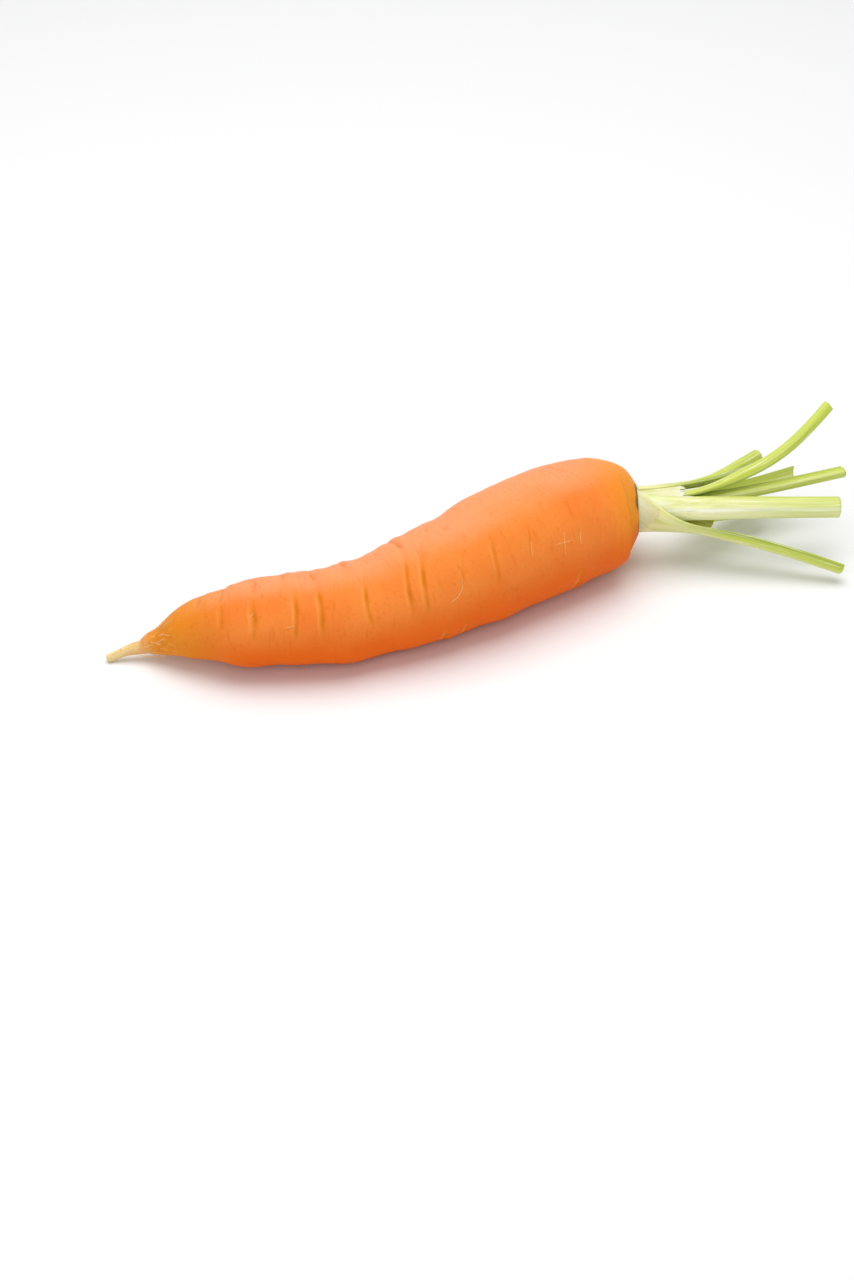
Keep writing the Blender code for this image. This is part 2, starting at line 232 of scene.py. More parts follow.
class CarrotStalks(bpy.types.PropertyGroup):
    sheath_colour: tint("Sheath", "Cream colour of the sheaths at the crown", (0.84, 0.80, 0.38))
    pale_colour: tint("Pale green", "Pale yellow green beyond the sheaths, also a painted highlight band along the stalks", (0.74, 0.77, 0.33))
    green_colour: tint("Green", "Yellow green of the free stalks", (0.57, 0.65, 0.105))
    shade_colour: tint("Edges", "Painted shade along the stalks' edges, and the darker green of fibres and pith", (0.35, 0.42, 0.06))
    olive_colour: tint("Olive", "Dark olive of the short stub", (0.40, 0.33, 0.012))
    cream_colour: tint("Cream stalk", "Pale colour of the broad stalk", (0.88, 0.89, 0.49))
    stripe_colour: tint("Cream stripe", "Nearly white: a painted highlight down the broad stalk, also its foot, fibres and torn edges", (0.96, 0.97, 0.80))
    cut_colour: tint("Cut ends", "Colour of the pith at the cut ends", (0.50, 0.54, 0.16))
    rib_depth: measure("Rib depth", "How far the ribs stand up from the stalks", 0.07 * MM, 0, 0.5 * MM)


class CarrotCrown(bpy.types.PropertyGroup):
    scale_colour: tint("Scales", "Colour of the dried scales round the neck", (0.10, 0.085, 0.02))
    membrane_colour: tint("Membrane", "Colour of the torn membrane of the sheaths", (0.85, 0.83, 0.46))
    scale_height: measure(
        "Scale height", "Height of the dried scales above the seat's floor", 1.25 * MM, 0.3 * MM, 3 * MM)


class CarrotRootlets(bpy.types.PropertyGroup):
    thread_colour: tint("Threads", "Colour of the fine rootlets", (0.95, 0.46, 0.14))
    thickness: measure("Thickness", "Diameter of a rootlet", 0.18 * MM, 0.05 * MM, 1 * MM)
    tip_hairs: IntProperty(
        name="Tip hairs", description="Number of hairs on the tip and the tail", default=26, min=0, max=80)


class CarrotStage(bpy.types.PropertyGroup):
    floor_colour: tint("Floor", "Colour of the floor", (0.88, 0.88, 0.885))
    floor_size: measure("Floor size", "Length of the floor's sides", 6.0, 1, 20)
    surround: FloatProperty(
        name="Surround", description="Brightness of the white surroundings", default=0.4, min=0, max=3)
    overhead: FloatProperty(
        name="Overhead light", description="Power of the large light above", default=8.4, unit="POWER",
        min=0, max=100)
    azimuth: FloatProperty(
        name="Camera azimuth", description="Direction of the camera round the carrot",
        default=math.radians(-23), subtype="ANGLE")
    elevation: FloatProperty(
        name="Camera elevation", description="Height of the camera above the horizon",
        default=math.radians(38), subtype="ANGLE")
    distance: measure("Camera distance", "Distance from the camera to the point it aims at", 0.6975, 0.1, 5)
    aim: FloatVectorProperty(
        name="Aim", description="The point that the camera aims at",
        default=(-0.0186, 0.0058, 0.01453), subtype="XYZ", unit="LENGTH")
    lens: FloatProperty(
        name="Lens", description="Focal length of the camera in millimetres", default=66.36, min=10, max=300)


# --- Curves and directions ---


def end_slope(near, far, step, next_step):
    """Three-point slope at an end of a curve, kept from overshooting."""
    slope = ((2 * step + next_step) * near - step * far) / (step + next_step)
    return near * min(max(slope / near, 0), 3) if near else 0.0


def smooth(places, values, at):
    """Values between stations on cubic Hermite curves, whose slope at a station is the weighted harmonic
    mean of the slopes beside it (Fritsch-Carlson), so that they never overshoot."""
    places, values, at = (np.asarray(a, float) for a in (places, values, at))
    step = np.diff(places)
    slope = np.diff(values) / step
    tangent = np.empty_like(values)
    tangent[0] = end_slope(slope[0], slope[1], step[0], step[1])
    tangent[-1] = end_slope(slope[-1], slope[-2], step[-1], step[-2])
    before, after = slope[:-1], slope[1:]
    w_before, w_after = step[:-1] + 2 * step[1:], 2 * step[:-1] + step[1:]
    turning = before * after <= 0
    safe = np.where(turning, 1.0, before), np.where(turning, 1.0, after)
    mean = (w_before + w_after) / (w_after / safe[0] + w_before / safe[1])
    tangent[1:-1] = np.where(turning, 0.0, mean)
    i = np.clip(np.searchsorted(places, at) - 1, 0, len(step) - 1)
    t = (at - places[i]) / step[i]
    return (
        values[i] * (1 + 2 * t) * (1 - t) ** 2
        + tangent[i] * step[i] * t * (1 - t) ** 2
        + values[i + 1] * t * t * (3 - 2 * t)
        + tangent[i + 1] * step[i] * t * t * (t - 1)
    )


def smoothstep(t):
    """A soft rise from 0 to 1 while t goes from 0 to 1."""
    t = np.clip(t, 0.0, 1.0)
    return t * t * (3 - 2 * t)


def unit(vectors):
    """Vectors over their lengths."""
    return vectors / np.linalg.norm(vectors, axis=-1, keepdims=True)


def lengths_along(path):
    """Distance along a path from its start to each of its points."""
    return np.concatenate([[0], np.cumsum(np.linalg.norm(np.diff(path, axis=0), axis=1))])


def ripple(a, b, seed):
    """A smooth uneven value near -1 to 1: a sum of nine sine waves of seeded slants over (a, b)."""
    draw = random.Random(seed)
    total = np.zeros(np.broadcast(a, b).shape)
    for _ in range(9):
        slant = draw.uniform(0, 2 * math.pi)
        pitch = draw.uniform(0.5, 1.6)
        total += np.sin(pitch * (a * math.cos(slant) + b * math.sin(slant)) + draw.uniform(0, 2 * math.pi))
    return total / 3.6


# --- The root's form ---


def root_radius(share):
    """The plain form's radius: the greatest one times OUTLINE."""
    return ROOT_RADIUS * smooth(OUTLINE_AT, OUTLINE, share)


def root_centre(share):
    """The centre line: X by share of the length, Y by BEND, and Z the plain radius plus LIFT, less the
    flat spot's depth."""
    widest = OUTLINE_AT[int(np.argmax(OUTLINE))]
    x = (share - REST_SHARE) * ROOT_LENGTH
    y = smooth(BEND_AT, BEND, share)
    resting = root_radius(np.minimum(share, widest)) - FLAT_DEPTH
    z = resting + smooth(LIFT_AT, LIFT, share)
    return np.stack([x, y, z], axis=-1)


def root_frame(share):
    """Directions of the centre line: its tangent between close places, level sideways, and upward."""
    reach = 0.004
    low = np.maximum(share - reach, -TAIL_SHARE)
    high = np.minimum(share + reach, 1.0)
    tangent = unit(root_centre(high) - root_centre(low))
    side = unit(np.cross(tangent, (0.0, 0.0, 1.0)))
    return tangent, side, np.cross(side, tangent)


def crown():
    """The middle of the crown's rim, and its outward, forward and upward directions."""
    end = np.array([1.0])
    return root_centre(end)[0], *(direction[0] for direction in root_frame(end))


def hidden_creases():
    """The deep creases of the far side and the underside, spread by the same draw as in the solids."""
    draw = random.Random(HIDDEN_SEED)
    found = []
    for i in range(HIDDEN_CREASES):
        place = 0.12 + 0.76 * (i + draw.uniform(0.1, 0.9)) / HIDDEN_CREASES
        angle = draw.choice((-75, -110, 132, 165)) + draw.uniform(-15, 15)
        half_span, depth = draw.uniform(20, 38), draw.uniform(0.35, 0.6)
        found.append(Crease(place, angle, half_span, depth * 0.85, 0.65, 0.8 * math.sin(i * 2.4)))
    return found


def fine_creases():
    """Short shallow creases all over, more of them towards the tip."""
    draw = random.Random(FINE_SEED)
    found = []
    for _ in range(FINE_CREASES):
        place = 0.07 + 0.86 * draw.random() ** 1.25
        found.append(Crease(
            place, draw.uniform(-180, 180), draw.uniform(5, 17), draw.uniform(0.03, 0.09),
            draw.uniform(0.3, 0.5), draw.uniform(-0.5, 0.5)))
    return found


def crease_marks(share, angle):
    """Depth in metres, darkness and paleness that the creases give each point. A crease is a sharp groove in
    the distance along the root from a line that bows, slants and wavers round it, faded by a power of the
    distance round it. A low lip stands on its crown side. The darkness is the crease's own colour with
    painted shade in its groove, and the pale painted highlight lies on its tip side."""
    depth = np.zeros(share.shape)
    dark = np.zeros(share.shape)
    pale = np.zeros(share.shape)
    degrees = np.degrees(angle)
    for number, crease in enumerate((*MAIN_CREASES, *hidden_creases(), *FAINT_CREASES, *fine_creases())):
        turn = (degrees - crease.angle + 180) % 360 - 180
        reach = turn / crease.half_span
        near = (np.abs(reach) < 1) & (np.abs(share - crease.place) * ROOT_LENGTH < 7 * MM)
        turn, reach, place = turn[near], reach[near], share[near]
        fade = 1 - reach**2
        waver = 0.12 * np.sin(turn * 0.13 + number) + 0.04 * np.sin(turn * 0.43 + 2 * number)
        line = crease.bow * (1 - reach**2) + crease.slant * reach + waver
        along = ((place - crease.place) * ROOT_LENGTH / MM - line) / crease.width
        uneven = 0.82 + 0.18 * np.sin(turn * 0.21 + 3 * number)
        groove = np.exp(-(np.abs(along) ** 1.4)) * uneven
        lip = np.exp(-((along - 2.4) ** 2) / 3)
        # The darkness is the crease's own colour with painted shade in its groove: weaker on the creases
        # along the top, stronger low on the front
        strength = min(crease.depth / 0.4, 1.0) * (0.45 + 0.55 * smoothstep((turn + crease.angle - 5) / 30))
        depth[near] += crease.depth * MM * fade * (groove - 0.45 * lip)
        core = 0.5 * np.exp(-((along / 0.55) ** 2)) + 0.5 * np.exp(-((along / 1.4) ** 2))
        dark[near] = np.maximum(dark[near], strength * fade**0.45 * core * uneven)
        # Painted highlight along the crease's tip side
        pale[near] = np.maximum(pale[near], strength * fade * np.exp(-((along + 1.9) ** 2) / 0.5))
    return depth, dark, pale


def skin_relief(share, angle, crease_depth):
    """Height of the skin over the plain turned form: slow swellings as in the solids, and small crosswise
    ripples, less the creases, all fading out over the flat underside."""
    waves = (
        0.30 * np.sin(2 * math.pi * 6.3 * share + 1.3 * np.sin(angle + 0.4))
        + 0.22 * np.sin(2 * math.pi * 10.7 * share + 2.0 * np.cos(angle - 1.1) + 1.7)
        + 0.25 * np.cos(2 * angle + 9.0 * share)
    )
    along = share * ROOT_LENGTH / MM
    cross = 0.05 * ripple(along * 0.9, 4.4 * np.sin(angle), 3)
    cross += 0.04 * ripple(along * 1.9, 5 * np.cos(angle), 4)
    body = smoothstep((share - 0.03) / 0.12) * smoothstep((0.93 - share) / 0.40)
    gentle = smoothstep((share - 0.01) / 0.08) * smoothstep((1.0 - share) / 0.06)
    underside = smoothstep((np.cos(angle) + 0.92) / 0.2)
    return ((waves * body + cross * gentle) * MM - crease_depth) * underside


def skin_point(share, angle, height):
    """Points at a height over the plain turned form, laid along the bent centre line and kept off the
    floor: centre + (side sin(angle) + up cos(angle)) (radius + height)."""
    _, side, up = root_frame(share)
    outward = side * np.sin(angle)[..., None] + up * np.cos(angle)[..., None]
    points = root_centre(share) + outward * (root_radius(share) + height)[..., None]
    points[..., 2] = np.maximum(points[..., 2], 0.0)
    return points


def ring_places():
    """Places of the skin's rings: evenly spread in the integral of a density that is higher at the deep
    creases, the tip and the crown."""
    fine = np.linspace(-TAIL_SHARE, 1.0, 6000)
    density = np.ones(fine.shape)
    for crease in (*MAIN_CREASES, *hidden_creases()):
        density += 0.9 * np.exp(-(((fine - crease.place) * ROOT_LENGTH / (1.6 * MM)) ** 2))
    density += 1.2 * smoothstep((fine - 0.95) / 0.05)
    total = np.concatenate([[0], np.cumsum((density[1:] + density[:-1]) / 2)])
    return np.interp(np.linspace(0, total[-1], ROOT_RINGS), total, fine)


# --- Meshes ---


def corner_grid(rows, columns, closed=True):
    """The numbers of a grid's points. If its rings are closed, their first point comes again at the end."""
    grid = np.arange(rows * columns).reshape(rows, columns)
    return np.concatenate([grid, grid[:, :1]], axis=1) if closed else grid


def quads(grid):
    """The quads between neighbouring points of a grid of point numbers."""
    return np.stack([grid[:-1, :-1], grid[:-1, 1:], grid[1:, 1:], grid[1:, :-1]], -1).reshape(-1, 4)


def thin_sheet(outer, outward, thickness):
    """Points and faces of a thin closed sheet: the outer grid, the same grid set back along the outward
    directions, and a band that joins the two all round."""
    points = np.concatenate([outer, outer - outward * thickness])
    grid = corner_grid(*outer.shape[:2], closed=False)
    rim = np.concatenate([grid[0], grid[1:, -1], grid[-1, -2::-1], grid[-2:0:-1, 0]])
    after, under = np.roll(rim, -1), grid.size
    band = np.stack([after, rim, rim + under, after + under], -1)
    return points, np.concatenate([quads(grid), quads(grid)[:, ::-1] + under, band]).tolist()


def new_object(name, points, faces, material):
    """A smooth mesh object of points and faces, in the scene."""
    mesh = bpy.data.meshes.new(name)
    mesh.from_pydata(points.reshape(-1, 3).tolist(), [], faces)
    mesh.shade_smooth()
    mesh.materials.append(material)
    made = bpy.data.objects.new(name, mesh)
    bpy.context.scene.collection.objects.link(made)
    return made


def put(name, points, faces, material, **marks):
    """Makes a piece that rides on the root, with its marks as attributes: one or three numbers a point."""
    piece = new_object(name, points, faces, material)
    for mark_name, values in marks.items():
        single = values.size == len(piece.data.vertices)
        kind, field = ("FLOAT", "value") if single else ("FLOAT_VECTOR", "vector")
        attribute = piece.data.attributes.new(mark_name, kind, "POINT")
        attribute.data.foreach_set(field, values.astype(np.float32).ravel())
    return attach(piece, "root")


def check_box(piece, node):
    """Raises an error if the piece strays from the box of the solid that it stands for."""
    points = np.empty(len(piece.data.vertices) * 3)
    piece.data.vertices.foreach_get("co", points)
    points = points.reshape(-1, 3)
    low, high = (np.array(corner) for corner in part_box(node))
    stray = max((low - points.min(0)).max(), (points.max(0) - high).max())
    if stray > STRAY:
        raise RuntimeError(f"{piece.name} stands {stray / MM:.1f} mm outside its solid")


# --- Materials ---


def add(tree, kind, inputs, **settings):
    """A shader node with its settings, and its inputs linked or set."""
    made = tree.nodes.new("ShaderNode" + kind)
    for name, value in settings.items():
        setattr(made, name, value)
    for name, value in inputs.items():
        socket = made.inputs[name]
        if isinstance(value, bpy.types.NodeSocket):
            tree.links.new(value, socket)
        else:
            socket.default_value = (*value, 1) if socket.type == "RGBA" else value
    return made


def mark(tree, name, socket="Fac"):
    """A mark of the piece, read from its attribute."""
    return add(tree, "Attribute", {}, attribute_name=name).outputs[socket]


def noise(tree, where, scale, detail, squash=(1, 1, 1)):
    """Cloudy noise over a vector in metres, with cells of 1 / scale metres, drawn out along its axes."""
    scaled = add(tree, "Mapping", {"Vector": where, "Scale": squash}, vector_type="POINT")
    return add(tree, "TexNoise", {
        "Vector": scaled.outputs["Vector"], "Scale": scale, "Detail": detail, "Roughness": 0.55,
    }).outputs["Fac"]


def reckoned(tree, value, factor, plus=0.0):
    """A value times a factor plus another value."""
    return add(tree, "Math", {0: value, 1: factor, 2: plus}, operation="MULTIPLY_ADD").outputs[0]


def ramp(tree, value, *stops):
    """A value that goes smoothly from stop to stop: each stop is a place and a grey level or a colour."""
    made = add(tree, "ValToRGB", {"Fac": value})
    made.color_ramp.interpolation = "EASE"
    elements = made.color_ramp.elements
    while len(elements) < len(stops):
        elements.new(0.5)
    for element, (place, level) in zip(elements, stops):
        element.position = place
        element.color = (*level, 1) if np.ndim(level) else (level, level, level, 1)
    return made.outputs["Color"]


def layered(tree, colour, *layers):
    """A colour with others laid over it in turn. Each layer is a value, the colour laid where that value is
    high, and the stops of the value's ramp, if it has one. A mix node's inputs 0, 6 and 7 are its factor
    and its two colours, and its output 2 is their mix."""
    for value, over, *stops in layers:
        factor = ramp(tree, value, *stops) if stops else value
        colour = add(tree, "Mix", {0: factor, 6: colour, 7: over}, data_type="RGBA").outputs[2]
    return colour


def new_material(name, **sockets):
    """A material and its node tree, with sockets of its Principled shader set to fixed values."""
    material = bpy.data.materials.new(name)
    material.use_nodes = True
    shader = material.node_tree.nodes["Principled BSDF"]
    for socket, value in sockets.items():
        shader.inputs[socket.replace("_", " ")].default_value = value
    return material, material.node_tree


def finish_material(tree, colour, *heights, roughness=None):
    """Gives the shader its colour, its roughness and its bumps. Each bump is a height in 0 to 1 with its
    strength and depth in metres, one over the other."""
    shader = tree.nodes["Principled BSDF"]
    tree.links.new(colour, shader.inputs["Base Color"])
    if roughness is not None:
        tree.links.new(roughness, shader.inputs["Roughness"])
    below = {}
    for height, strength, distance in heights:
        bump = add(tree, "Bump", {"Height": height, "Strength": strength, "Distance": distance, **below})
        below = {"Normal": bump.outputs["Normal"]}
    if below:
        tree.links.new(below["Normal"], shader.inputs["Normal"])


def skin_material(look):
    """Carrot skin: orange with ruddy clouds, small darker flecks and crosswise streaks, ochre towards the tip
    and yellow at the shoulder. A painted sheen lies along the top and painted shade underneath. The creases
    are dark with their own colour and painted shade, with a painted highlight on their edges, and dirt with
    painted shade darkens the crown's rim."""
    material, tree = new_material(
        "carrot_skin", IOR=1.42, Specular_IOR_Level=0.07, Subsurface_Weight=0.18,
        Subsurface_Radius=(3.0, 1.0, 0.3), Subsurface_Scale=MM, Subsurface_Anisotropy=0.3)
    straight = mark(tree, "straight", "Vector")
    along = mark(tree, "along")
    # This runs from the top of the root, 0, to its underside, 1, and places the painted sheen and the painted
    # shade
    low = reckoned(tree, noise(tree, straight, 60, 3), 0.16, mark(tree, "low"))
    reach = reckoned(tree, along, 1.0, TAIL_SHARE)
    fibres = ramp(tree, noise(tree, straight, 1100, 3, (0.10, 1, 1)), (0.50, 0.0), (0.64, 0.8))
    fibres = reckoned(tree, fibres, ramp(tree, reach, (0.09, 1.0), (0.16, 0.0)))
    colour = layered(
        tree, look.flesh_colour,
        (noise(tree, straight, 70, 4, (1, 0.7, 0.7)), look.ruddy_colour, (0.38, 0.0), (0.66, 1.0)),
        # Painted sheen along the top
        (low, look.painted_sheen_colour, (0.08, 0.9), (0.30, 0.0)),
        (along, look.shoulder_colour, (0.87, 0.0), (1.0, 0.95)),
        # Painted shade low on the sides and underneath
        (low, look.painted_underside_shade_colour, (0.52, 0.0), (0.98, 0.95)),
        (along, look.tip_colour, (0.04, 1.0), (0.20, 0.0)),
        (fibres, look.crease_highlight_and_fibre_colour),
        (reach, look.tail_colour, (0.03, 1.0), (0.10, 0.0)),
        (noise(tree, straight, 900, 3, (1, 0.16, 0.16)), look.fleck_colour, (0.56, 0.0), (0.72, 0.28)),
        (noise(tree, straight, 1500, 2, (1, 0.6, 0.6)), look.fleck_colour, (0.58, 0.0), (0.72, 0.36)),
        # Painted highlight on the tip side of the creases
        (mark(tree, "pale"), look.crease_highlight_and_fibre_colour, (0.1, 0.0), (1.0, 0.5)),
        # The creases' own dark colour with painted shade in their grooves
        (mark(tree, "dark"), look.crease_and_shade_colour, (0.0, 0.0), (1.0, 0.95)),
        # Dirt and painted shade round the crown's rim and in its seat
        (mark(tree, "soil"), RIM_SHADE_AND_SOIL_COLOUR))
    grain = noise(tree, straight, 1 / look.grain, 3, (1, 0.55, 0.55))
    pores = noise(tree, straight, 420, 4, (1, 0.3, 0.3))
    finish_material(tree, colour, (grain, 0.35, 0.05 * MM), (pores, 0.4, 0.12 * MM),
                    roughness=ramp(tree, noise(tree, straight, 260, 3), (0.3, 0.40), (0.7, 0.52)))
    return material


def stalk_material(name, look, bands, ripeness, foot):
    """A leaf stalk: cream in the sheath and pale yellow green beyond it, then bands of colour across it from
    edge to edge, which paint shade along its edges and a highlight down its middle, with lengthwise fibres
    and a pithy cut end. Ripeness is the share of the stalk after which it is wholly green, and foot is the
    colour where it leaves the crown."""
    material, tree = new_material(
        name, IOR=1.4, Specular_IOR_Level=0.4, Subsurface_Weight=0.25, Subsurface_Radius=(1.4, 1.8, 0.5),
        Subsurface_Scale=MM)
    fibre = mark(tree, "fibre", "Vector")
    run = mark(tree, "run")
    shifted = reckoned(tree, noise(tree, fibre, 150, 3, (1, 1, 0.25)), 0.22, run)
    place = reckoned(tree, noise(tree, fibre, 300, 2, (0.6, 0, 0.12)), 0.12, mark(tree, "place"))
    # The bands across the stalk, with painted shade along its edges and a painted highlight down its middle
    free_colour = ramp(tree, place, *((at + 0.06, getattr(look, f"{key}_colour")) for at, key in bands))
    sheath = ramp(tree, shifted, (0.10, foot), (0.36, look.pale_colour))
    strands = noise(tree, fibre, 1500, 3, (1, 1, 0.03))
    folds = ramp(tree, noise(tree, fibre, 520, 3, (1, 1, 0.06)), (0.48, 0.0), (0.60, 0.6))
    folds = reckoned(tree, folds, ramp(tree, run, (0.05, 1.0), (0.3, 0.0)))
    pith = noise(tree, fibre, 1900, 2)
    cut = layered(tree, look.cut_colour, (pith, look.shade_colour, (0.4, 0.0), (0.62, 0.6)))
    colour = layered(
        tree, sheath,
        (shifted, free_colour, (0.2, 0.0), (ripeness, 1.0)),
        (shifted, look.green_colour, (0.5, 0.0), (1.0, 0.4)),
        (strands, look.shade_colour, (0.53, 0.0), (0.70, 0.28)),
        (strands, look.stripe_colour, (0.30, 0.5), (0.46, 0.0)),
        (folds, look.green_colour),
        (mark(tree, "cut"), cut))
    grooves = noise(tree, fibre, 420, 2, (1, 1, 0.06))
    finish_material(tree, colour, (strands, 0.4, 0.06 * MM), (grooves, 0.4, 0.12 * MM),
                    roughness=ramp(tree, strands, (0.3, 0.36), (0.7, 0.52)))
    return material


def plain_plant_material(name, colour, other_colour, grain, roughness):
    """Dry or thready plant matter: two colours in cloudy patches, with fine grain."""
    material, tree = new_material(
        name, Roughness=roughness, Subsurface_Weight=0.15, Subsurface_Radius=(1.5, 1.2, 0.5),
        Subsurface_Scale=MM)
    where = add(tree, "TexCoord", {}).outputs["Object"]
    colour = layered(tree, colour, (noise(tree, where, 1 / grain, 3), other_colour, (0.4, 0.0), (0.62, 1.0)))
    finish_material(tree, colour, (noise(tree, where, 3 / grain, 2), 0.5, 0.08 * MM))
    return material


# --- The root ---


def make_skin(look):
    """The skin: skin_point over a grid of share and angle with its relief. Rings round the rim and down
    into the seat follow it, each the crown's middle plus a radius round it and a depth, and a point
    closes each end."""
    share = ring_places()
    angle = np.linspace(-math.pi, math.pi, ROOT_SIDES, endpoint=False)
    share_grid, angle_grid = np.meshgrid(share, angle, indexing="ij")
    depth, dark, pale = crease_marks(share_grid, angle_grid)
    body = skin_point(share_grid, angle_grid, skin_relief(share_grid, angle_grid, depth))

    rim, tangent, side, up = crown()
    seat = np.array(SEAT_PROFILE)[:, :, None, None] * MM
    outward = side * np.sin(angle)[:, None] + up * np.cos(angle)[:, None]
    bowl = rim + outward * seat[:, 0] - tangent * seat[:, 1]
    rings = np.concatenate([body, bowl])
    ends = np.stack([body[0].mean(0) - tangent * TAIL_POINT, rim - tangent * SEAT_DEPTH])
    points = np.concatenate([rings.reshape(-1, 3), ends])

    grid = corner_grid(*rings.shape[:2])
    tail, floor = np.full(ROOT_SIDES, len(points) - 2), np.full(ROOT_SIDES, len(points) - 1)
    faces = quads(grid).tolist()
    faces += np.stack([tail, grid[0, 1:], grid[0, :-1]], -1).tolist()
    faces += np.stack([grid[-1, :-1], grid[-1, 1:], floor], -1).tolist()

    def carried(values, seat_value, tail_value=0.0):
        """A mark of the grid, carried on over the seat and the two end points."""
        on_rings = np.pad(values, ((0, len(seat)), (0, 0)), constant_values=seat_value)
        return np.append(on_rings, [tail_value, seat_value])

    middle = np.concatenate([root_centre(share), np.tile(rim, (len(seat), 1))])
    radius = np.linalg.norm(rings - middle[:, None], axis=-1)
    length = np.pad(share, (0, len(seat)), constant_values=1.0)[:, None] * ROOT_LENGTH
    straight = np.stack([length + 0 * radius, radius * np.sin(angle), radius * np.cos(angle)], -1)
    end_places = [(-TAIL_SHARE * ROOT_LENGTH, 0, 0), (ROOT_LENGTH, 0, 0)]
    # Dirt and painted shade round the crown's rim, and over the whole seat
    edge = (share_grid - 1.0) * ROOT_LENGTH / MM
    soil = 0.85 * smoothstep((edge + 0.35 + 0.55 * ripple(angle_grid * 7, edge * 0.5, 8)) / 0.7)
    # This places the painted sheen along the top and the painted shade underneath, turned a little towards
    # the back
    low = 0.5 - 0.5 * np.cos(angle_grid + PAINTED_LIGHT_TURN)
    skin = put(
        "carrot_skin", points, faces, skin_material(look), along=carried(share_grid, 1.0),
        dark=carried(dark, 0.0), pale=carried(pale, 0.0), soil=carried(soil, 0.9), low=carried(low, 0.5, 0.5),
        straight=np.concatenate([straight.reshape(-1, 3), end_places]))
    check_box(skin, "taproot")
    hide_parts("taproot")


# --- Leaf stalks ---


def stalk_path(stalk, start, straight, end):
    """A cubic Bezier with its tangents: straight out of the crown to the elbow, then on to the end."""
    elbow = start + straight * stalk.elbow * MM
    late = elbow + (end - elbow) * 0.45
    t = (np.linspace(0, 1, STALK_RINGS) ** 1.2)[:, None]
    points = (1 - t) ** 3 * start + 3 * (1 - t) ** 2 * t * elbow + 3 * (1 - t) * t**2 * late + t**3 * end
    tangents = (1 - t) ** 2 * (elbow - start) + 2 * (1 - t) * t * (late - elbow) + t**2 * (end - late)
    return points, unit(tangents)


def carried_along(normal, tangents):
    """The starting normal, carried along the path without twist, one tangent after another."""
    found = []
    for tangent in tangents:
        normal = unit(normal - tangent * np.dot(normal, tangent))
        found.append(normal)
    return np.array(found)


def stalk_sections(stalk, run):
    """Half-width, thickness and curl radius at each run from the crown, as in the solids. Half the width
    falls with the square of the sheath that is left and swells by a bell curve where it ends, and the
    thickness and the curl grow by smooth steps."""
    sheath = stalk.sheath * MM
    narrowing = (1 - np.minimum(run / sheath, 1)) ** 2
    thickening = smoothstep((run - stalk.elbow * MM * 0.5) / sheath)
    end_half, ring = stalk.width * MM / 2, stalk.ring * MM
    if ring:
        base_half, base_thick = math.radians(stalk.half_span) * ring, SHEATH_THICKNESS
    else:
        base_half, base_thick, ring = CORE_WIDTH / 2, CORE_WIDTH, FREE_CURL
    swell = 1 + 0.15 * np.exp(-(((run - sheath) / (12 * MM)) ** 2))
    half = end_half * swell + (base_half - end_half * swell) * narrowing
    thick = base_thick + (stalk.depth * MM - base_thick) * thickening
    curl = ring + (FREE_CURL - ring) * smoothstep(run / (sheath * 1.5))
    return half, thick, curl


def stalk_frames(stalk):
    """The stalk's centre line on its inner face, with tangents, outward and sideways directions."""
    rim, outward, front, up = crown()
    turn, lean_turn = math.radians(stalk.direction), math.radians(LEAN_DIRECTION)
    normal = front * math.cos(turn) + up * math.sin(turn)
    lean = (front * math.cos(lean_turn) + up * math.sin(lean_turn)) * NECK_LEAN
    centre = rim - outward * SEAT_DEPTH
    inner_face = stalk.ring * MM if stalk.ring else -CORE_WIDTH / 2
    start = centre + outward * GAP + normal * inner_face
    end = centre + np.array(stalk.end) * MM
    straight = outward if stalk.ring == OUTER_RING else unit(outward + lean)
    path, tangents = stalk_path(stalk, start, straight, end)
    tangents[0] = outward
    normals = carried_along(normal, tangents)
    return path, tangents, normals, np.cross(tangents, normals)


def curled(path, normals, sides, curl, across, height):
    """Points on a stalk's curled section, with their outward directions: an arc of the curl's circle as
    long as the distance across, and the height added to the circle's radius."""
    bend = (across / curl)[..., None]
    outward = normals * np.cos(bend) + sides * np.sin(bend)
    return path - normals * curl[..., None] + outward * (curl + height)[..., None], outward


